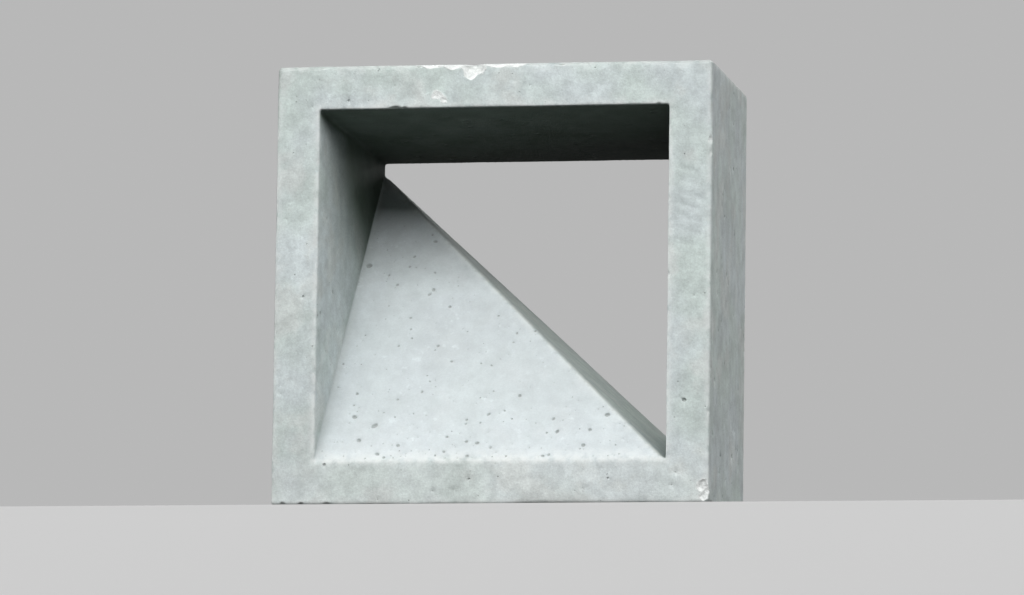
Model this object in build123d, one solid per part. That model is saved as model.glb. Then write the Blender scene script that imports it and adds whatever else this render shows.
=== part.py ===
"""A square concrete screen block, cast in one piece.

It is open from front to back. A sloping facet rises from the lower front edge of the opening to an apex at
the back of its left wall, and leaves a near-triangular hole through the back face.

Millimetres. The origin is at the middle of the bottom face. X runs to the right, Y from the front face to the
back face, and Z up.
"""

from build123d import *
import os

# The square face, and the depth from front to back
side = 200.0
depth = 100.0

# The frame round the opening, which is thicker at the back so that the mould's core draws out at the front
front_rim = 20.0
back_rim = 30.0

# At the back, the facet's apex stops this far under the top wall, and the foot of its cut side stands this
# far above the bottom wall.
apex_drop = 5.0
toe_rise = 6.0

# Rounded edges: those of the outer box, and those of the opening and the facet
outer_radius = 2.0
inner_radius = 1.0

front_y = -depth / 2
back_y = depth / 2


def opening_corners(rim, y):
    """The opening's four corners in the plane at y, where the frame is as thick as rim."""
    reach = side / 2 - rim
    low = rim
    high = side - rim
    return {
        "low_left": Vector(-reach, y, low),
        "low_right": Vector(reach, y, low),
        "high_right": Vector(reach, y, high),
        "high_left": Vector(-reach, y, high),
    }


mouth = opening_corners(front_rim, front_y)
throat = opening_corners(back_rim, back_y)
apex = throat["high_left"] - Vector(0, 0, apex_drop)
toe = throat["low_right"] + Vector(0, 0, toe_rise)


def flat(*points):
    """A flat face with the given corners."""
    return Face(Wire(Polyline(*points, close=True).edges()))


def opening():
    """The open space: a square taper with the facet and its cut side in place of the lower left half."""
    facet = flat(mouth["low_left"], mouth["low_right"], apex)
    cut_side = flat(mouth["low_right"], apex, toe)
    left_wall = flat(mouth["low_left"], mouth["high_left"], throat["high_left"], apex)
    top_wall = flat(mouth["high_left"], mouth["high_right"], throat["high_right"], throat["high_left"])
    right_wall = flat(mouth["low_right"], mouth["high_right"], throat["high_right"], toe)
    mouth_plane = flat(*mouth.values())
    throat_plane = flat(apex, toe, throat["high_right"], throat["high_left"])
    return Solid(Shell([facet, cut_side, left_wall, top_wall, right_wall, mouth_plane, throat_plane]))


def edge_between(solid, start, end):
    """The solid's edge that runs from start to end."""
    middle = (start + end) * 0.5
    return min(solid.edges(), key=lambda edge: (edge.position_at(0.5) - middle).length)


def rounded_along(solid, corners):
    """The solid with the edges from each corner to the next one rounded."""
    edges = [edge_between(solid, start, end) for start, end in zip(corners, corners[1:])]
    return solid.fillet(inner_radius, edges)


def screen_block():
    """The casting: the rounded box, less the opening, with the edges of the opening and the facet rounded.

    The facet's back edge, in the plane of the back face, stays sharp.
    """
    box = Solid.make_box(side, depth, side).moved(Location((-side / 2, front_y, 0)))
    box = box.fillet(outer_radius, box.edges())
    block = (box - opening()).solid()
    block = rounded_along(block, [mouth["low_right"], apex])
    block = rounded_along(block, [*mouth.values(), mouth["low_left"]])
    return rounded_along(block, [toe, throat["high_right"], throat["high_left"]])


os.makedirs("parts", exist_ok=True)
export_step(screen_block(), "parts/screen_block.step")
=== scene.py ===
"""The looks of the concrete screen block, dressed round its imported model. Metres, in the same frame."""

import math

import bpy
import numpy as np
from mathutils import Matrix, Vector, geometry, noise


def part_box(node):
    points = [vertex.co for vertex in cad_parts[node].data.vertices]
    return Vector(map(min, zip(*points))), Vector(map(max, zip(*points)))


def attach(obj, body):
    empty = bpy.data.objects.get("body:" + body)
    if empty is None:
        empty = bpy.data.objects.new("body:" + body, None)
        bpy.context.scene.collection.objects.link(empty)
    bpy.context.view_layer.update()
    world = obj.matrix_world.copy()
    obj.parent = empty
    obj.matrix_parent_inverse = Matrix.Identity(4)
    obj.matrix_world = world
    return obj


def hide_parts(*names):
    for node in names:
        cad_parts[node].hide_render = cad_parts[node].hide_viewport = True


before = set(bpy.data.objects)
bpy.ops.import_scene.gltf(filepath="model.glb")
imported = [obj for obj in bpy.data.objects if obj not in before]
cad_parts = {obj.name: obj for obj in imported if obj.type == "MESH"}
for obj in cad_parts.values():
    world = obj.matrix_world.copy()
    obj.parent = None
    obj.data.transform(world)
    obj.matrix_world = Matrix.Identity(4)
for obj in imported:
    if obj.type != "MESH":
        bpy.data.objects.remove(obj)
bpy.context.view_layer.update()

MM = 0.001
NODE = "screen_block"

# The block's form, as in its source
FRONT_RIM = 20 * MM
BACK_RIM = 30 * MM
APEX_DROP = 5 * MM
TOE_RISE = 6 * MM
OUTER_RADIUS = 2 * MM
INNER_RADIUS = 1 * MM
CREASE_RADIUS = 0.8 * MM

low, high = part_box(NODE)
SIDE = high.z - low.z
FRONT_Y = low.y
BACK_Y = high.y


def point(*coordinates):
    return np.array(coordinates, float)


def square_corners(inset, y):
    """Corners of a square in the plane at y, inset from the block's outline, from low left by way of low right."""
    reach = SIDE / 2 - inset
    return [
        point(-reach, y, inset),
        point(reach, y, inset),
        point(reach, y, SIDE - inset),
        point(-reach, y, SIDE - inset),
    ]


OUTER_FRONT = square_corners(0, FRONT_Y)
OUTER_BACK = square_corners(0, BACK_Y)
MOUTH = square_corners(FRONT_RIM, FRONT_Y)
THROAT = square_corners(BACK_RIM, BACK_Y)
APEX = THROAT[3] - point(0, 0, APEX_DROP)
TOE = THROAT[1] + point(0, 0, TOE_RISE)
MIDDLE = point(0, (FRONT_Y + BACK_Y) / 2, SIDE / 2)
HALF_SIZE = point(SIDE / 2, (BACK_Y - FRONT_Y) / 2, SIDE / 2)


# How close the surface's points lie

# Along the edges that show in front, and along the others
FINE_STEP = 0.85 * MM
COARSE_STEP = 2.0 * MM

# On the faces, where concrete has broken away, how far round that, and on the ridges
FACE_STEP = 2.8 * MM
BREAK_STEP = 0.75 * MM
BREAK_MARGIN = 2.2 * MM
RIDGE_STEP = 0.9 * MM

# A staggered grid, in shares of its step: how far apart its rows lie, the range of its points' random shifts, and how
# near another point may lie
ROW_RATIO = 0.87
JITTER = 0.3
CLOSEST = 0.6

# Rows of points beside an edge, so that its rounding is smooth. From row to row, the points lie further apart.
EDGE_ROWS = (0.45 * MM, 0.95 * MM, 1.6 * MM, 2.5 * MM)
ROW_WIDENING = 0.35
ROW_SPACING = 0.4 * MM
ROW_SPACING_GROWTH = 0.5


# Noise on arrays of points

def noise_at(points, scale, seed=0, octaves=1):
    """Smooth noise of about -1 to 1 at each point, with features of about the given size."""
    shift = Vector((seed * 7.31, seed * -3.17, seed * 5.53))
    if octaves == 1:
        return np.array([noise.noise(Vector(p) / scale + shift) for p in points])
    return np.array([noise.fractal(Vector(p) / scale + shift, 1.0, 2.0, octaves) for p in points])


# The casting as a signed distance, which is negative inside the concrete

def unit(vector):
    return vector / np.linalg.norm(vector)


def plane_through(a, b, c, towards):
    """(point, normal) of the plane through a, b and c, with the normal on the side that towards is on."""
    normal = unit(np.cross(b - a, c - a))
    return a, normal if normal @ (towards - a) > 0 else -normal


OPEN_AIR = (MOUTH[2] + THROAT[2]) / 2 - point(FRONT_RIM, 0, FRONT_RIM)
LEFT_WALL = plane_through(MOUTH[0], MOUTH[3], THROAT[3], OPEN_AIR)
RIGHT_WALL = plane_through(MOUTH[1], MOUTH[2], THROAT[2], OPEN_AIR)
TOP_WALL = plane_through(MOUTH[2], MOUTH[3], THROAT[3], OPEN_AIR)
FACET = plane_through(MOUTH[0], MOUTH[1], APEX, OPEN_AIR)
CUT_SIDE = plane_through(MOUTH[1], APEX, TOE, OPEN_AIR)


def above(plane, points):
    return (points - plane[0]) @ plane[1]


def both(a, b, radius):
    """Where both solids are, with the edge between them rounded."""
    rounding = np.hypot(np.maximum(radius + a, 0), np.maximum(radius + b, 0))
    return np.minimum(-radius, np.maximum(a, b)) + rounding


def either(a, b, radius):
    """Where either solid is, with the crease between them filled."""
    return -both(-a, -b, radius)


def outer_box(points, radius):
    past = np.abs(points - MIDDLE) - HALF_SIZE + radius[:, None]
    return np.linalg.norm(np.maximum(past, 0), axis=1) + np.minimum(past.max(1), 0) - radius


# Where concrete has broken off the edges: the middle and the half sizes of each bite
BREAKS = [
    # The chip in the top edge, and the shallow ones beside it
    (point(-10 * MM, FRONT_Y - 2.5 * MM, SIDE + 3.5 * MM), point(8.4 * MM, 7 * MM, 10 * MM)),
    (point(-18 * MM, FRONT_Y - 1.0 * MM, SIDE + 1.5 * MM), point(9 * MM, 3.2 * MM, 3.8 * MM)),
    (point(-29 * MM, FRONT_Y - 1.0 * MM, SIDE + 1.5 * MM), point(8 * MM, 3.1 * MM, 3.6 * MM)),
    (point(5 * MM, FRONT_Y - 1.0 * MM, SIDE + 1.5 * MM), point(14 * MM, 3.2 * MM, 3.6 * MM)),
    # The flake under them
    (point(-26 * MM, FRONT_Y - 3.1 * MM, 185.4 * MM), point(4.4 * MM, 3.8 * MM, 3.4 * MM)),
    (point(-23.2 * MM, FRONT_Y - 3.4 * MM, 183.4 * MM), point(3.0 * MM, 3.8 * MM, 3.0 * MM)),
    # The lower right corner
    (point(102 * MM, FRONT_Y - 9.0 * MM, 2.0 * MM), point(10.5 * MM, 11.2 * MM, 10.5 * MM)),
    (point(97.0 * MM, FRONT_Y - 7.0 * MM, 7.4 * MM), point(6 * MM, 8 * MM, 5 * MM)),
    (point(103.2 * MM, FRONT_Y - 2.4 * MM, -2.0 * MM), point(7 * MM, 5.5 * MM, 6 * MM)),
    # The upper right corner
    (point(104 * MM, FRONT_Y - 3 * MM, SIDE + 3 * MM), point(7.5 * MM, 7 * MM, 7 * MM)),
]

# Small nicks along the outer edges and the opening's front edges: how far apart, how large and how far out their
# middles lie, and how wide those of the opening are beside the others
NICK_SPACING = 38 * MM
NICK_LENGTH = (1.5 * MM, 6.0 * MM)
NICK_WIDTH = (1.45 * MM, 2.3 * MM)
NICK_OUTSET = 0.5 * MM
MOUTH_NICK_SHARE = 0.7


def sides_of(corners):
    return list(zip(corners, corners[1:] + corners[:1]))


def outer_edges():
    return sides_of(OUTER_FRONT) + sides_of(OUTER_BACK) + list(zip(OUTER_FRONT, OUTER_BACK))


def nicks_along(start, end, opening, random):
    """Nicks at random places on one edge of the outside, or of the opening."""
    along = np.abs(unit(end - start))
    out = np.sign((start + end) / 2 - MIDDLE) * (along < 0.5) * (point(-1, 1, -1) if opening else 1)
    found = []
    for _ in range(round(np.linalg.norm(end - start) / NICK_SPACING)):
        place, longer, wider = random.random(3) ** (1, 2, 2)
        length = NICK_LENGTH[0] + (NICK_LENGTH[1] - NICK_LENGTH[0]) * longer
        width = NICK_WIDTH[0] + (NICK_WIDTH[1] - NICK_WIDTH[0]) * wider
        width *= MOUTH_NICK_SHARE if opening else 1
        half = width + (length - width) * np.round(along)
        found.append((start + (end - start) * place + unit(out) * NICK_OUTSET, half))
    return found


def nicks():
    random = np.random.default_rng(11)
    edges = [(side, False) for side in outer_edges()] + [(side, True) for side in sides_of(MOUTH)[1:]]
    return [nick for (start, end), opening in edges for nick in nicks_along(start, end, opening, random)]


NICKS = nicks()
BITE_MIDDLES, BITE_HALVES = (np.array(values) for values in zip(*BREAKS, *NICKS))

# How many of the nearest bites count at one point
BITES_AT_ONCE = 6

# How rough a bite is, as a share of its least half size, the most of that size that counts, and how thick its rim is
BITE_ROUGHNESS = 0.24
ROUGHEST_HALF = 7 * MM
BITE_RIM = 0.3 * MM

# How many times the points of a bite are spread evenly, and how far round it
EVENINGS = 8
EVENED_REACH = 0.8 * MM

# Moving points onto the surface: how many steps, how far apart the slope is measured, and the least slope counted
SETTLINGS = 6
SLOPE_STEP = 0.02 * MM
LEAST_STEEPNESS = 0.1

# Shallow ridges on the right of the front: where they lie, and how far apart and how deep the grooves are between
# them
RIDGES_LOW = point(83 * MM, FRONT_Y, 110 * MM)
RIDGES_HIGH = point(97 * MM, FRONT_Y, 156 * MM)
RIDGE_SPACING = 5.4 * MM
RIDGE_HEIGHT = 0.32 * MM
RIDGE_SLANT = 0.35
RIDGE_FADE = 4 * MM
RIDGE_DRIFT = 1.4 * MM


def roughness(half):
    """How far a bite's surface moves in and out, for its half sizes."""
    return BITE_ROUGHNESS * np.minimum(half.min(axis=-1), ROUGHEST_HALF)


def break_distance(points, middle, half):
    """About how far each point lies outside a bite, which is an ellipsoid."""
    scaled = np.linalg.norm((points - middle) / half, axis=1)
    steepness = np.linalg.norm((points - middle) / half**2, axis=1)
    return scaled * (scaled - 1) / np.maximum(steepness, 1e-9)


def nearest_bites(points):
    """The numbers of the bites nearest each point, the nearest first."""
    distances = [break_distance(points, middle, half) for middle, half in BREAKS + NICKS]
    return np.argsort(distances, axis=0)[:BITES_AT_ONCE]


def casting(points, outer_radius, inner_radius, uneven, bites):
    """Signed distance to the casting. Each point has its own radii, unevenness and nearest bites."""
    crease = np.full(len(points), CREASE_RADIUS)
    walls = either(above(TOP_WALL, points), above(LEFT_WALL, points), crease)
    walls = either(walls, above(RIGHT_WALL, points), crease)
    wedge = both(above(FACET, points), above(CUT_SIDE, points), inner_radius)
    solid = both(outer_box(points, outer_radius), either(walls, wedge, crease), inner_radius)
    for number in bites:
        middle, half = BITE_MIDDLES[number], BITE_HALVES[number]
        solid = np.maximum(solid, roughness(half) * uneven - break_distance(points, middle, half))
    return solid


def slope(points, *settings):
    """Gradient of the signed distance."""
    ahead = [casting(points + axis * SLOPE_STEP, *settings) for axis in np.eye(3)]
    behind = [casting(points - axis * SLOPE_STEP, *settings) for axis in np.eye(3)]
    return (np.stack(ahead, axis=1) - np.stack(behind, axis=1)) / (2 * SLOPE_STEP)


def settle(points, *settings):
    """(points moved onto the casting's surface, outward normals there)."""
    for _ in range(SETTLINGS):
        gradient = slope(points, *settings)
        steepness = np.maximum((gradient**2).sum(1), LEAST_STEEPNESS)
        points = points - gradient * (casting(points, *settings) / steepness)[:, None]
    normals = slope(points, *settings)
    return points, normals / np.linalg.norm(normals, axis=1)[:, None]


def evened(points, triangles, uneven, bites, settings):
    """(the settled points, with those in and round the bites spread evenly, outward normals there)."""
    settled, normals = settle(points, *settings, uneven, bites)
    middle, half = BITE_MIDDLES[bites[0]], BITE_HALVES[bites[0]]
    moving = break_distance(settled, middle, half) < EVENED_REACH
    chosen = [values[moving] for values in (*settings, uneven)]
    for _ in range(EVENINGS):
        total, count = np.zeros_like(settled), np.zeros(len(settled))
        for corner in range(3):
            np.add.at(total, triangles[:, corner], settled[triangles[:, corner - 1]])
            np.add.at(count, triangles[:, corner], 1)
        drawn = (settled + total / count[:, None])[moving] / 2
        settled[moving], normals[moving] = settle(drawn, *chosen, bites[:, moving])
    return settled, normals


# The skin: points and triangles of the whole surface

class Skin:
    """Points, how deep each lies in a pore, and triangles. Faces share the points along their edges."""

    def __init__(self):
        self.points = []
        self.sunk = []
        self.triangles = []
        self.index = {}

    def add(self, place, sunk=0.0):
        key = tuple(np.round(place / (0.001 * MM)).astype(int))
        if key not in self.index:
            self.index[key] = len(self.points)
            self.points.append(place)
            self.sunk.append(sunk)
        return self.index[key]


def on_back_of_outside(start, end):
    """Whether an edge is one of the outer box's that don't show in front."""
    outside = all(abs(p[0]) > SIDE / 2 - MM or p[2] < MM or p[2] > SIDE - MM for p in (start, end))
    return outside and max(start[1], end[1]) > FRONT_Y + MM


def edge_points(start, end):
    """Points from start to end, the same ones whichever end comes first."""
    if tuple(start) > tuple(end):
        return edge_points(end, start)[::-1]
    step = COARSE_STEP if on_back_of_outside(start, end) else FINE_STEP
    ratio = np.linspace(0, 1, round(np.linalg.norm(end - start) / step) + 1)[:, None]
    return start + (end - start) * ratio


def inside_outline(points, outline):
    """Whether each flat point lies inside a closed outline."""
    x, y = points[:, 0], points[:, 1]
    inside = np.zeros(len(points), bool)
    for (x0, y0), (x1, y1) in sides_of(outline):
        if y0 != y1:
            inside ^= ((y0 > y) != (y1 > y)) & (x < (x1 - x0) * (y - y0) / (y1 - y0) + x0)
    return inside


def distance_to_side(points, start, end):
    along = end - start
    ratio = np.clip(((points - start) @ along) / (along @ along), 0, 1)
    return np.linalg.norm(points - start - ratio[:, None] * along, axis=1)


class Face:
    """One flat face of the skin: its outline, its hole if it has one, and flat coordinates on it."""

    def __init__(self, name, outward, outline, hole=None):
        across = unit(outline[1] - outline[0])
        self.name = name
        self.outward = outward
        self.origin = outline[0]
        self.axes = np.stack([across, np.cross(outward, across)])
        self.loops = [outline, hole] if hole else [outline]

    def flatten(self, places):
        return (places - self.origin) @ self.axes.T

    def unflatten(self, flat):
        return self.origin + flat @ self.axes


class Pattern:
    """Flat points of one face, none of them too near another."""

    def __init__(self, face):
        self.loops = [[face.flatten(corner) for corner in loop] for loop in face.loops]
        self.sides = [side for loop in self.loops for side in sides_of(loop)]
        self.points = []
        self.sunk = []
        self.pores = []
        self.cells = {}

    def extent(self):
        return np.min(self.loops[0], axis=0), np.max(self.loops[0], axis=0)

    def open_here(self, points, margin):
        """Whether each point lies on the face, at least margin from its edges."""
        keep = inside_outline(points, self.loops[0])
        for hole in self.loops[1:]:
            keep &= ~inside_outline(points, hole)
        for start, end in self.sides:
            keep &= distance_to_side(points, start, end) > margin
        return keep

    def add(self, points, spacing, margin, sunk=0.0):
        """Adds the points that lie at least spacing from those already there."""
        cell = 1.2 * MM
        reach = math.ceil(spacing / cell)
        for p in points[self.open_here(points, margin)]:
            i, j = int(p[0] // cell), int(p[1] // cell)
            near = (
                q
                for a in range(i - reach, i + reach + 1)
                for b in range(j - reach, j + reach + 1)
                for q in self.cells.get((a, b), ())
            )
            if all((p[0] - q[0]) ** 2 + (p[1] - q[1]) ** 2 >= spacing**2 for q in near):
                self.cells.setdefault((i, j), []).append((p[0], p[1]))
                self.points.append(p)
                self.sunk.append(sunk)


# Air pores in each face: how many, and how they crowd towards its lower end
PORES = {
    "front": (95, 1.0),
    "facet": (420, 1.7),
    "cut_side": (25, 1.0),
    "left_wall": (40, 1.0),
    "top_wall": (35, 1.0),
    "right_wall": (40, 1.0),
    "left": (70, 1.0),
    "right": (70, 1.0),
    "top": (60, 1.0),
    "bottom": (40, 1.0),
    "back": (90, 1.0),
}

# The least and the largest radius, how strongly small ones prevail, and how much longer than wide a pore may be
PORE_RADIUS = (0.22 * MM, 1.0 * MM)
PORE_SMALLNESS = 3.5
PORE_STRETCH = 0.5

# Pores that stand out in the photograph: the face, the place and the radius
LARGE_PORES = [
    ("facet", point(-70.5 * MM, 17.7 * MM, 118.2 * MM), 1.5 * MM),
    ("facet", point(-65 * MM, -35 * MM, 41.8 * MM), 1.1 * MM),
    ("facet", point(-55 * MM, -38 * MM, 37.4 * MM), 1.2 * MM),
    ("facet", point(51 * MM, -35 * MM, 41.8 * MM), 1.2 * MM),
    ("facet", point(44 * MM, -40 * MM, 34.5 * MM), 0.9 * MM),
]

# A pore's middle and its rings of points: how far out and how deep they lie, as shares of the pore's radius. A flat
# collar of points outside keeps the face round a pore from shading as if it were dented.
PORE_DEPTH = 0.95
PORE_RINGS = ((0.5, 0.86), (0.86, 0.6), (1.02, 0.0))
PORE_COLLAR = 0.2 * MM

# Room that a pore leaves to the edges of its face and, as a multiple of its radius, to other pores
PORE_MARGIN = 0.8 * MM
PORE_ROOM = 1.6

# Points on a ring: how far apart, how few at least, and how near any two points may lie
RING_STEP = 0.5 * MM
FEWEST_ON_RING = 7
NEAREST = 0.05 * MM


def add_pore(pattern, place, radius, random):
    turn, start = random.random(2) * math.tau
    stretch = PORE_STRETCH * radius * random.random() ** 2
    if not pattern.open_here(place[None], radius + stretch + PORE_MARGIN)[0]:
        return
    if any(np.hypot(*(place - other)) < PORE_ROOM * radius + reach for other, reach in pattern.pores):
        return
    pattern.pores.append((place, PORE_ROOM * radius + PORE_COLLAR))
    axes = np.array([[math.cos(turn), math.sin(turn)], [-math.sin(turn), math.cos(turn)]])
    pattern.add(place[None], NEAREST, PORE_COLLAR, PORE_DEPTH * radius)
    rings = [(radius * reach, radius * sink) for reach, sink in PORE_RINGS]
    for reach, sink in [*rings, (rings[-1][0] + PORE_COLLAR, 0.0)]:
        steps = max(FEWEST_ON_RING, round(math.tau * reach / RING_STEP))
        angle = start + np.arange(steps) * math.tau / steps
        ring = np.stack([np.cos(angle) * (reach + stretch), np.sin(angle) * reach], axis=1)
        pattern.add(place + ring @ axes, NEAREST, PORE_COLLAR, sink)


def add_pores(pattern, lowest, highest, random, count, crowding):
    for _ in range(count):
        radius = PORE_RADIUS[0] + (PORE_RADIUS[1] - PORE_RADIUS[0]) * random.random() ** PORE_SMALLNESS
        place = lowest + (highest - lowest) * random.random(2) ** (1.0, crowding)
        add_pore(pattern, place, radius, random)


def add_edge_rows(pattern):
    for number, offset in enumerate(EDGE_ROWS):
        for start, end in pattern.sides:
            along = end - start
            length = np.hypot(*along)
            across = np.array([-along[1], along[0]]) / length
            count = round(length / (FINE_STEP * (1 + ROW_WIDENING * number)))
            line = start + along * (np.arange(count) + 0.25 + 0.5 * (number % 2))[:, None] / count
            spacing = ROW_SPACING * (1 + ROW_SPACING_GROWTH * number)
            for side in (-1, 1):
                pattern.add(line + across * offset * side, spacing, offset * 0.97)


def staggered_grid(lowest, highest, step, random):
    spacing = step * np.array([1, ROW_RATIO])
    columns, rows = np.ceil((highest - lowest) / spacing) + 1
    i, j = np.meshgrid(np.arange(columns), np.arange(rows))
    grid = np.stack([(i + 0.5 * (j % 2)).ravel(), j.ravel()], axis=1) * spacing + lowest
    return grid + (random.random(grid.shape) - 0.5) * step * JITTER


def add_bite(pattern, face, middle, half, random):
    """Close points where concrete has broken away."""
    reach = half.max() * 1.15
    if abs((middle - face.origin) @ face.outward) < reach:
        flat_middle = face.flatten(middle)
        fine = staggered_grid(flat_middle - reach, flat_middle + reach, BREAK_STEP, random)
        fine = fine[np.abs(break_distance(face.unflatten(fine), middle, half)) < BREAK_MARGIN]
        pattern.add(fine, BREAK_STEP * CLOSEST, 0.3 * MM)


def scatter(face, random):
    """The pattern of points on one face: pores, edges and bites, with an even spread between them."""
    pattern = Pattern(face)
    lowest, highest = pattern.extent()
    clear_of_edges = EDGE_ROWS[-1] + 0.4 * MM
    for name, place, radius in LARGE_PORES:
        if name == face.name:
            add_pore(pattern, face.flatten(place), radius, random)
    add_pores(pattern, lowest, highest, random, *PORES[face.name])
    add_edge_rows(pattern)
    for middle, half in BREAKS + NICKS:
        add_bite(pattern, face, middle, half, random)
    if face.name == "front":
        ridged = staggered_grid(face.flatten(RIDGES_LOW), face.flatten(RIDGES_HIGH), RIDGE_STEP, random)
        pattern.add(ridged, RIDGE_STEP * CLOSEST, clear_of_edges)
    pattern.add(staggered_grid(lowest, highest, FACE_STEP, random), FACE_STEP * CLOSEST, clear_of_edges)
    return pattern


def bounding_points(face):
    """(points along the face's edges, the pairs of them that follow each other)."""
    points, pairs = [], []
    for loop in face.loops:
        ring = np.concatenate([edge_points(start, end)[:-1] for start, end in sides_of(loop)])
        first, count = len(points), len(ring)
        pairs += [(first + k, first + (k + 1) % count) for k in range(count)]
        points.extend(ring)
    return np.array(points), pairs


def cover(skin, face, random):
    """Adds one flat face to the skin."""
    pattern = scatter(face, random)
    boundary, pairs = bounding_points(face)
    places = np.concatenate([boundary, face.unflatten(np.array(pattern.points))])
    sunk = [0.0] * len(boundary) + pattern.sunk
    found, _, triangles, sources, _, _ = geometry.delaunay_2d_cdt(
        [Vector(p) for p in face.flatten(places) / MM], pairs, [], 1, 1e-4
    )
    assert all(sources), f"{face.name}: its outline crosses itself"
    index = np.array([skin.add(places[source[0]], sunk[source[0]]) for source in sources])
    flat = np.array([v[:] for v in found]) * MM
    triangles = np.array(triangles)
    triangles = triangles[pattern.open_here(flat[triangles].mean(1), 0)]
    (x1, y1), (x2, y2) = ((flat[triangles[:, k]] - flat[triangles[:, 0]]).T for k in (1, 2))
    backwards = x1 * y2 < x2 * y1
    triangles[backwards] = triangles[backwards, ::-1]
    skin.triangles.extend(index[triangles])


def build_skin():
    random = np.random.default_rng(7)
    skin = Skin()
    x, y, z = np.eye(3)
    faces = [
        Face("front", -y, OUTER_FRONT, MOUTH),
        Face("back", y, OUTER_BACK, [APEX, TOE, THROAT[2], THROAT[3]]),
        Face("bottom", -z, [OUTER_FRONT[0], OUTER_FRONT[1], OUTER_BACK[1], OUTER_BACK[0]]),
        Face("top", z, [OUTER_FRONT[3], OUTER_FRONT[2], OUTER_BACK[2], OUTER_BACK[3]]),
        Face("left", -x, [OUTER_FRONT[0], OUTER_FRONT[3], OUTER_BACK[3], OUTER_BACK[0]]),
        Face("right", x, [OUTER_FRONT[1], OUTER_FRONT[2], OUTER_BACK[2], OUTER_BACK[1]]),
        Face("left_wall", LEFT_WALL[1], [MOUTH[0], MOUTH[3], THROAT[3], APEX]),
        Face("top_wall", TOP_WALL[1], [MOUTH[3], MOUTH[2], THROAT[2], THROAT[3]]),
        Face("right_wall", RIGHT_WALL[1], [MOUTH[1], MOUTH[2], THROAT[2], TOE]),
        Face("facet", FACET[1], [MOUTH[0], MOUTH[1], APEX]),
        Face("cut_side", CUT_SIDE[1], [MOUTH[1], APEX, TOE]),
    ]
    for face in faces:
        cover(skin, face, random)
    return np.array(skin.points), np.array(skin.sunk), np.array(skin.triangles)


def ridges(points):
    """How far the surface lies under the tops of the ridges, which slant and fade at the sides."""
    x, z = points[:, 0], points[:, 2]
    inside = np.minimum(points - RIDGES_LOW, RIDGES_HIGH - points)[:, (0, 2)].min(1)
    strength = np.clip(inside / RIDGE_FADE, 0, 1) * (points[:, 1] < FRONT_Y + MM)
    strength *= np.clip(0.65 + noise_at(points, 9 * MM, seed=8), 0, 1)
    drift = RIDGE_DRIFT * noise_at(points, 8 * MM, seed=6)
    phase = (z + RIDGE_SLANT * x + drift) / RIDGE_SPACING
    return RIDGE_HEIGHT * strength * (0.5 - 0.5 * np.cos(math.tau * phase)) ** 2


# Slow and quick waves in the cast faces: how long and how high
SLOW_WAVES = (45 * MM, 0.16 * MM)
QUICK_WAVES = (9 * MM, 0.05 * MM)


def waves(points, length, height, seed):
    """Depths of about 0 to twice the height."""
    return height * (1 + noise_at(points, length, seed))


def relief(points, normals):
    """How far the surface lies under the true form: cast faces wave a little. The foot stays flat."""
    waving = waves(points, *SLOW_WAVES, seed=1) + waves(points, *QUICK_WAVES, seed=2)
    return (waving + ridges(points)) * (1 + np.minimum(normals[:, 2], 0))


def edge_lines():
    """The convex edges, as (start, end)."""
    hole = [(APEX, TOE), (TOE, THROAT[2]), (THROAT[2], THROAT[3]), (THROAT[3], APEX)]
    return outer_edges() + sides_of(MOUTH) + hole + [(MOUTH[1], APEX)]


def crease_lines():
    """The concave creases inside the opening."""
    return [
        (MOUTH[0], APEX),
        (MOUTH[3], THROAT[3]),
        (MOUTH[2], THROAT[2]),
        (MOUTH[1], TOE),
    ]


def nearness(points, lines, reach):
    """1 on the lines, falling to 0 at reach from them."""
    nearest = np.min([distance_to_side(points, start, end) for start, end in lines], axis=0)
    return np.clip(1 - nearest / reach, 0, 1)


def bitten(points, bites, uneven):
    """1 on the surface that a bite has left, and 0 elsewhere."""
    depths = [roughness(half) * uneven - break_distance(points, middle, half) for middle, half in bites]
    return np.clip(np.max(depths, axis=0) / BITE_RIM + 1, 0, 1)


def on_wedge_side(plane, other, points):
    """1 on the side of the wedge that lies in plane, and 0 elsewhere, also past its edge with the other."""
    return np.clip(1.5 - np.abs(above(plane, points)) / MM, 0, 1) * (above(other, points) < 0.3 * MM)


def ramp(values, start, end):
    """0 at start, rising or falling evenly to 1 at end."""
    return np.clip((values - start) / (end - start), 0, 1)


# How far each mark reaches from its place
OUTSIDE_MARGIN = 1.6 * MM
EDGE_REACH = 3.6 * MM
SILL_REACH = 8 * MM
ARRIS_REACH = 3.5 * MM
CREASE_REACH = 4 * MM
UNDER_REACH = 12 * MM
PIT_FULL_DEPTH = 0.5 * MM

# How strong some of them are, and the most that the painted shade towards the back darkens the concrete
NICK_WEAR = 0.9
SILL_WEAR_AND_HIGHLIGHT = 0.8
# Painted shade in the opening's creases and on the wedge's cut side
CREASE_SHADE = 0.25
CUT_SIDE_SHADE = 0.5
# Painted shade deep in the opening, darker towards the back
DEEP_BACK_SHADE = 0.5
DARKEST_BACK_SHADE = 0.85


def wear_and_highlight(points, uneven, on_facet):
    """1 on worn edges and nicks, and 0 elsewhere. The pale edges are partly wear and partly painted highlight; along
    the facet's front edge and its edge with the cut side they are painted highlight.
    """
    edge = nearness(points, edge_lines(), EDGE_REACH) ** 1.5
    nicked = NICK_WEAR * bitten(points, NICKS, uneven)
    # Painted highlight along the facet's front edge and its edge with the cut side
    sill = SILL_WEAR_AND_HIGHLIGHT * nearness(points, [(MOUTH[0], MOUTH[1])], SILL_REACH) * on_facet
    arris = nearness(points, [(MOUTH[1], APEX)], ARRIS_REACH) * on_facet
    return np.clip(np.maximum.reduce([edge, sill, arris, nicked]), 0, 1)


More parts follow.
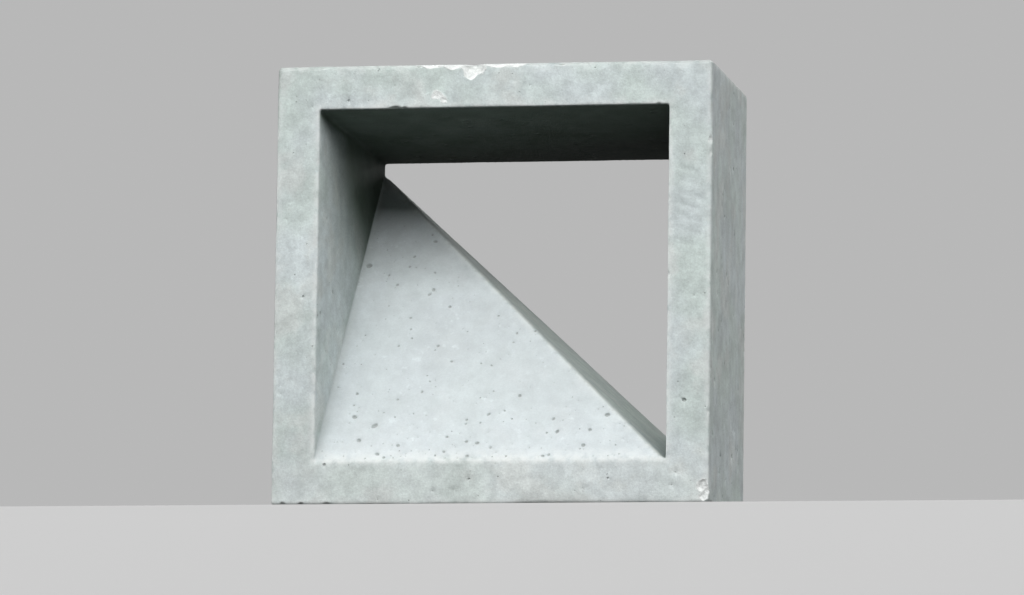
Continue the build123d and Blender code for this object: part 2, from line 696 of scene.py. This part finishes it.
def opening_darkening(points, on_facet, on_cut_side):
    """Two masks, which darken the opening upwards and towards the back. The first is an olive stain with painted shade
    under the top wall, and painted shade higher up and deeper in the opening, on the cut side and in the creases. The
    second is painted shade, darker towards the back and to the right.
    """
    into = ramp(points[:, 1], FRONT_Y, BACK_Y)
    across = ramp(points[:, 0], -SIDE / 2, SIDE / 2)
    height = points[:, 2] / SIDE
    high_up = 1.3 * ramp(height, 0.35, 0.85) + 0.8 * ramp(height, 0.6, 0.75)
    # Under the top wall: an olive stain with painted shade
    under = ramp(above(TOP_WALL, points), UNDER_REACH, 0) * (0.96 + 0.04 * into)
    # Higher up and deeper in the opening, off the wedge: painted shade
    deep = np.clip(into * high_up, 0, 1) * (1 - np.maximum(on_facet, on_cut_side))
    # Painted shade under the top wall, darker towards the back and to the right
    underside_shading = under * (into * (0.5 + 0.6 * across) + 0.2 * across)
    # Painted shade in the creases
    creased = CREASE_SHADE * nearness(points, crease_lines(), CREASE_REACH)
    stain_and_shade_mask = np.clip(np.maximum.reduce([under, deep, CUT_SIDE_SHADE * on_cut_side]) + creased, 0, 1)
    shade_towards_back = np.clip(np.maximum(underside_shading, DEEP_BACK_SHADE * deep * ramp(into, 0.5, 1)), 0, DARKEST_BACK_SHADE)
    return stain_and_shade_mask, shade_towards_back


def surface_marks(points, sunk, uneven):
    """Marks from 0 to 1 at each point: worn edges with painted highlight, painted light and less unevenness on the
    facet, a bleached foot, stain and painted shade, painted shade towards the back, painted shade in the pores, and
    broken places.
    """
    within = np.clip((HALF_SIZE - np.abs(points - MIDDLE)).min(1) / OUTSIDE_MARGIN, 0, 1)
    on_facet = on_wedge_side(FACET, CUT_SIDE, points)
    on_cut_side = on_wedge_side(CUT_SIDE, FACET, points)
    stain_and_shade_mask, shade_towards_back = opening_darkening(points, on_facet, on_cut_side)
    in_front = ramp(points[:, 1], FRONT_Y + 1.5 * MM, FRONT_Y + 0.5 * MM)
    foot = ramp(points[:, 2], FRONT_RIM + 4 * MM, FRONT_RIM - 4 * MM)
    return {
        "wear_and_highlight": wear_and_highlight(points, uneven, on_facet),
        "lit_smooth_facet": on_facet * within,
        "bleached": in_front * foot,
        "stain_and_shade_mask": stain_and_shade_mask * within,
        "shade_towards_back": shade_towards_back * within,
        "pore_shade": np.clip(sunk / PIT_FULL_DEPTH, 0, 1),
        "broken": bitten(points, BREAKS, uneven),
    }


# The concrete's finish

CONCRETE = (0.572, 0.627, 0.620)
GREENER = (0.538, 0.614, 0.584)
COOLER = (0.566, 0.624, 0.635)
CREAMIER = (0.602, 0.636, 0.618)
# Painted light: the up-facing facet lighter and cooler
FACET_LIGHT_COLOUR = (0.588, 0.636, 0.652)
# An olive stain with painted shade, for the opening
OLIVE_STAIN_AND_SHADE = (0.090, 0.118, 0.093)
FRACTURE = (0.800, 0.825, 0.812)
# Painted shade in the pores
PORE_SHADE_COLOUR = (0.30, 0.32, 0.31)

# How much each colour covers what it lies on
PLAIN_COVER = 0.25
BLEACH_COVER = 0.2
FACET_LIGHT_COVER = 0.8
WEAR_AND_HIGHLIGHT_COVER = 0.75
PORE_SHADE_COVER = 0.65
BREAK_COVER = 0.9

# Unevenness of the brightness: the noise's size, detail, harshness and stretch, the part of its range that counts, and
# the brightness at each end of that
UNEVENNESS = [
    (30 * MM, 5, 0.62, None, (0.30, 0.70), (0.91, 1.06)),
    (7 * MM, 5, 0.62, None, (0.30, 0.70), (0.885, 1.09)),
    (9 * MM, 4, 0.55, (1.0, 1.0, 0.12), (0.3, 0.7), (0.97, 1.03)),
    (0.9 * MM, 2, 0.7, None, (0.2, 0.8), (0.90, 1.09)),
]

# The share of it that is left on the smooth facet, how much pale flecks lighten, and how much painted shade darkens
# the pinholes
SMOOTH_FACET_UNEVENNESS = 0.42
FLECK_BRIGHTENING = 0.10
PINHOLE_SHADE = 0.4

# A matt surface: the range of its roughness, and its specular level
MATT = (0.86, 0.96)
SPECULAR_LEVEL = 0.12

# Heights of the bumps too small for the mesh
SAND_HEIGHT = 0.10 * MM
SKIN_HEIGHT = 0.16 * MM
CRUMBLE_HEIGHT = 0.35 * MM
PINHOLE_DEPTH = 0.25 * MM


class Shading:
    """Short calls that add and join a material's nodes."""

    def __init__(self, name):
        self.material = bpy.data.materials.new(name)
        self.material.use_nodes = True
        self.tree = self.material.node_tree
        self.surface = self.tree.nodes["Principled BSDF"]
        self.place = self.tree.nodes.new("ShaderNodeTexCoord").outputs["Object"]

    def feed(self, value, socket):
        if isinstance(value, bpy.types.NodeSocket):
            self.tree.links.new(value, socket)
        else:
            socket.default_value = (*value, 1) if socket.type == "RGBA" else value

    def noise(self, size, detail=4, stretch=None, harshness=0.55):
        """Noise of 0 to 1, with features of about the given size."""
        node = self.tree.nodes.new("ShaderNodeTexNoise")
        node.inputs["Scale"].default_value = 1 / size
        node.inputs["Detail"].default_value = detail
        node.inputs["Roughness"].default_value = harshness
        source = self.place
        if stretch:
            scaled = self.tree.nodes.new("ShaderNodeVectorMath")
            scaled.operation = "MULTIPLY"
            scaled.inputs[1].default_value = stretch
            self.tree.links.new(source, scaled.inputs[0])
            source = scaled.outputs["Vector"]
        self.tree.links.new(source, node.inputs["Vector"])
        return node.outputs["Fac"]

    def spots(self, spacing):
        """Distance to the nearest of many scattered points, as a share of their spacing."""
        node = self.tree.nodes.new("ShaderNodeTexVoronoi")
        node.inputs["Scale"].default_value = 1 / spacing
        self.tree.links.new(self.place, node.inputs["Vector"])
        return node.outputs["Distance"]

    def attribute(self, name):
        node = self.tree.nodes.new("ShaderNodeAttribute")
        node.attribute_name = name
        return node.outputs["Fac"]

    def spread(self, value, start, end, low=0.0, high=1.0):
        """value from start to end, remapped smoothly to low and high."""
        node = self.tree.nodes.new("ShaderNodeMapRange")
        node.interpolation_type = "SMOOTHSTEP"
        for name, number in zip(("From Min", "From Max", "To Min", "To Max"), (start, end, low, high)):
            node.inputs[name].default_value = number
        self.tree.links.new(value, node.inputs["Value"])
        return node.outputs["Result"]

    def math(self, operation, first, second):
        node = self.tree.nodes.new("ShaderNodeMath")
        node.operation = operation
        self.feed(first, node.inputs[0])
        self.feed(second, node.inputs[1])
        return node.outputs["Value"]

    def product(self, first, *others):
        for other in others:
            first = self.math("MULTIPLY", first, other)
        return first

    def mix(self, factor, first, second):
        """first where factor is 0, second where it is 1."""
        node = self.tree.nodes.new("ShaderNodeMix")
        node.data_type = "RGBA"
        self.feed(factor, node.inputs["Factor"])
        self.feed(first, node.inputs["A"])
        self.feed(second, node.inputs["B"])
        return node.outputs["Result"]

    def shade(self, colour, brightness):
        """colour times a brightness."""
        node = self.tree.nodes.new("ShaderNodeVectorMath")
        node.operation = "SCALE"
        self.feed(colour, node.inputs[0])
        self.feed(brightness, node.inputs["Scale"])
        return node.outputs["Vector"]


def tinted(s, lit_smooth_facet):
    """The colour of clean concrete: soft patches of tint, a bleached foot, and painted light on the facet, which is
    lighter and cooler.
    """
    tint = s.mix(s.spread(s.noise(44 * MM, 3), 0.38, 0.62), GREENER, COOLER)
    tint = s.mix(s.spread(s.noise(19 * MM, 3), 0.48, 0.66, 0.0, 0.8), tint, CREAMIER)
    colour = s.mix(PLAIN_COVER, tint, CONCRETE)
    colour = s.mix(s.product(s.attribute("bleached"), BLEACH_COVER), colour, FRACTURE)
    return s.mix(s.product(lit_smooth_facet, FACET_LIGHT_COVER), colour, FACET_LIGHT_COLOUR)


def pinhole_marks(s):
    """1 in tiny holes, which lie in patches, and 0 elsewhere."""
    patches = s.spread(s.noise(16 * MM, 2), 0.5, 0.62)
    return s.product(s.spread(s.spots(4.2 * MM), 0.06, 0.10, 1.0, 0.0), patches)


def uneven_brightness(s, lit_smooth_facet, pinholes):
    """How bright the concrete is, about 1, with less unevenness on the facet, and with painted shade in the pinholes.
    """
    layers = [
        s.spread(s.noise(size, detail, stretch, harshness), *used, *brightness)
        for size, detail, harshness, stretch, used, brightness in UNEVENNESS
    ]
    left = s.spread(lit_smooth_facet, 0.0, 1.0, 1.0, SMOOTH_FACET_UNEVENNESS)
    brightness = s.math("ADD", 1.0, s.product(s.math("SUBTRACT", s.product(*layers), 1.0), left))
    fleck_patches = s.spread(s.noise(22 * MM, 2), 0.45, 0.6)
    flecks = s.product(s.spread(s.noise(3.4 * MM, 4), 0.60, 0.70), fleck_patches)
    lighter = s.math("ADD", 1.0, s.product(flecks, FLECK_BRIGHTENING))
    # Painted shade in the pinholes, which are only bumps
    darker = s.math("SUBTRACT", 1.0, s.product(pinholes, PINHOLE_SHADE))
    return s.product(brightness, lighter, darker)


def marked(s, colour, broken):
    """colour with its worn edges and painted highlights, its stain and painted shade, painted shade in its pores, and
    its broken places.
    """
    # Pale worn edges, partly painted highlight
    worn_and_lit = s.product(s.attribute("wear_and_highlight"), s.spread(s.noise(5 * MM, 3), 0.3, 0.6))
    colour = s.mix(s.product(worn_and_lit, WEAR_AND_HIGHLIGHT_COVER), colour, FRACTURE)
    # Olive stain and painted shade in the opening
    stain_and_shade_cover = s.product(s.attribute("stain_and_shade_mask"), s.spread(s.noise(14 * MM, 5), 0.25, 0.7, 0.91, 1.0))
    colour = s.mix(stain_and_shade_cover, colour, OLIVE_STAIN_AND_SHADE)
    # Painted shade, darker towards the back of the opening
    colour = s.shade(colour, s.math("SUBTRACT", 1.0, s.attribute("shade_towards_back")))
    # Painted shade in the pores, darker the deeper they lie
    colour = s.mix(s.product(s.attribute("pore_shade"), PORE_SHADE_COVER), colour, PORE_SHADE_COLOUR)
    fresh = s.shade(FRACTURE, s.spread(s.noise(1.6 * MM, 3), 0.25, 0.75, 0.82, 1.1))
    return s.mix(s.product(broken, BREAK_COVER), colour, fresh)


def fine_bumps(s, broken, pinholes):
    """The normals of sand, skin, crumbled breaks and pinholes."""
    sand = s.product(s.noise(0.7 * MM, 3, harshness=0.7), SAND_HEIGHT)
    skin = s.product(s.noise(2.6 * MM, 3), SKIN_HEIGHT)
    crumble = s.product(broken, s.noise(1.3 * MM, 4, harshness=0.75), CRUMBLE_HEIGHT)
    height = s.math("ADD", s.math("ADD", sand, skin), crumble)
    height = s.math("SUBTRACT", height, s.product(pinholes, PINHOLE_DEPTH))
    bump = s.tree.nodes.new("ShaderNodeBump")
    bump.inputs["Distance"].default_value = 1.0
    s.tree.links.new(height, bump.inputs["Height"])
    return bump.outputs["Normal"]


def concrete():
    s = Shading("concrete")
    lit_smooth_facet, broken, pinholes = s.attribute("lit_smooth_facet"), s.attribute("broken"), pinhole_marks(s)
    colour = s.shade(tinted(s, lit_smooth_facet), uneven_brightness(s, lit_smooth_facet, pinholes))
    s.feed(marked(s, colour, broken), s.surface.inputs["Base Color"])
    s.feed(s.spread(s.noise(3 * MM, 3), 0.3, 0.7, *MATT), s.surface.inputs["Roughness"])
    s.surface.inputs["Specular IOR Level"].default_value = SPECULAR_LEVEL
    s.feed(fine_bumps(s, broken, pinholes), s.surface.inputs["Normal"])
    return s.material


def build_block():
    points, sunk, triangles = build_skin()
    outer_radius = OUTER_RADIUS * (1 + 0.35 * noise_at(points, 17 * MM, seed=3))
    inner_radius = INNER_RADIUS * (1 + 0.4 * noise_at(points, 12 * MM, seed=4))
    uneven = noise_at(points, 5 * MM, seed=5, octaves=3)
    radii = (outer_radius, inner_radius)
    settled, normals = evened(points, triangles, uneven, nearest_bites(points), radii)
    final = settled - normals * (relief(settled, normals) + sunk)[:, None]
    mesh = bpy.data.meshes.new("dressed_block")
    mesh.from_pydata(final.tolist(), [], triangles.tolist())
    mesh.validate()
    mesh.polygons.foreach_set("use_smooth", [True] * len(mesh.polygons))
    for name, values in surface_marks(settled, sunk, uneven).items():
        mesh.attributes.new(name, "FLOAT", "POINT").data.foreach_set("value", values)
    mesh.materials.append(concrete())
    block = bpy.data.objects.new("dressed_block", mesh)
    bpy.context.scene.collection.objects.link(block)
    return block


block = build_block()
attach(block, "root")
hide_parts(NODE)

# The stage

# The camera looks from below the floor, so the floor ends just in front of the block.
LEDGE_PROUD = 4 * MM
STAGE_REACH = 9.0
FLOOR_THICKNESS = 3.0

# Greys of the floor and the world as they are seen, and as they light the block
PALE = 0.66
DIM = 0.06
BACKGROUND = 0.48
FILL = 0.025

# Soft lamps, all turned to the block: the place, the size and the power
LAMPS = {
    "front_lamp": ((0, -2.9, 2.3), (4.6, 2.1), 154),
    "left_lamp": ((-3.0, -1.4, 1.7), (2.0, 2.4), 45),
    "right_lamp": ((3.0, -1.4, 1.7), (2.0, 2.4), 45),
    "back_lamp": ((0, 3.0, 0.6), (1.8, 0.9), 62),
    "top_lamp": ((0, 1.2, 3.0), (3.0, 2.0), 20),
}


def seen_directly(tree):
    """1 for rays that show the stage itself, and 0 for those that carry its light to the block."""
    path = tree.nodes.new("ShaderNodeLightPath")
    total = path.outputs["Is Camera Ray"]
    for name in ("Is Glossy Ray", "Is Transmission Ray"):
        largest = tree.nodes.new("ShaderNodeMath")
        largest.operation = "MAXIMUM"
        tree.links.new(total, largest.inputs[0])
        tree.links.new(path.outputs[name], largest.inputs[1])
        total = largest.outputs[0]
    return total


def grey_by_ray(tree, unseen, seen):
    """One grey for rays that show the stage, and another for those that carry its light."""
    mix = tree.nodes.new("ShaderNodeMix")
    mix.data_type = "RGBA"
    mix.inputs["A"].default_value = (unseen, unseen, unseen, 1)
    mix.inputs["B"].default_value = (seen, seen, seen, 1)
    tree.links.new(seen_directly(tree), mix.inputs["Factor"])
    return mix.outputs["Result"]


def stage_material():
    material = bpy.data.materials.new("pale_stage")
    material.use_nodes = True
    tree = material.node_tree
    surface = tree.nodes["Principled BSDF"]
    tree.links.new(grey_by_ray(tree, DIM, PALE), surface.inputs["Base Color"])
    surface.inputs["Roughness"].default_value = 1.0
    surface.inputs["Specular IOR Level"].default_value = 0.0
    return material


def build_floor():
    """A thick slab: its top, front, back and underside, along X."""
    front = FRONT_Y - LEDGE_PROUD
    profile = [(front, -FLOOR_THICKNESS), (front, 0), (STAGE_REACH, 0), (STAGE_REACH, -FLOOR_THICKNESS)]
    vertices = [(x, y, z) for x in (-STAGE_REACH, STAGE_REACH) for y, z in profile]
    faces = [(0, 1, 5, 4), (1, 2, 6, 5), (2, 3, 7, 6), (3, 0, 4, 7)]
    mesh = bpy.data.meshes.new("floor")
    mesh.from_pydata(vertices, [], faces)
    mesh.materials.append(stage_material())
    floor = bpy.data.objects.new("floor", mesh)
    bpy.context.scene.collection.objects.link(floor)


def soft_lamp(name, place, size, power):
    data = bpy.data.lights.new(name, "AREA")
    data.shape = "RECTANGLE"
    data.size, data.size_y = size
    data.energy = power
    lamp = bpy.data.objects.new(name, data)
    lamp.location = place
    lamp.rotation_euler = (Vector(MIDDLE) - lamp.location).to_track_quat("-Z", "Y").to_euler()
    lamp.visible_camera = False
    bpy.context.scene.collection.objects.link(lamp)


def build_light():
    for name, (place, size, power) in LAMPS.items():
        soft_lamp(name, place, size, power)
    world = bpy.data.worlds.new("studio")
    bpy.context.scene.world = world
    world.use_nodes = True
    tree = world.node_tree
    light = tree.nodes["Background"]
    tree.links.new(grey_by_ray(tree, FILL, BACKGROUND), light.inputs["Color"])


# The camera stands as the photograph's did to the second block of the row: low, and to the right.
EYE = Vector((0.619, -3.229, -0.345))
LENS = 256
ROLL = 0.78


def build_camera():
    data = bpy.data.cameras.new("camera")
    data.lens = LENS
    camera = bpy.data.objects.new("camera", data)
    aim = (Vector(MIDDLE) - EYE).to_track_quat("-Z", "Y").to_matrix().to_4x4()
    camera.matrix_world = Matrix.Translation(EYE) @ aim @ Matrix.Rotation(math.radians(ROLL), 4, "Z")
    bpy.context.scene.collection.objects.link(camera)
    bpy.context.scene.camera = camera
    bpy.context.scene.view_settings.view_transform = "Standard"


build_floor()
build_light()
build_camera()
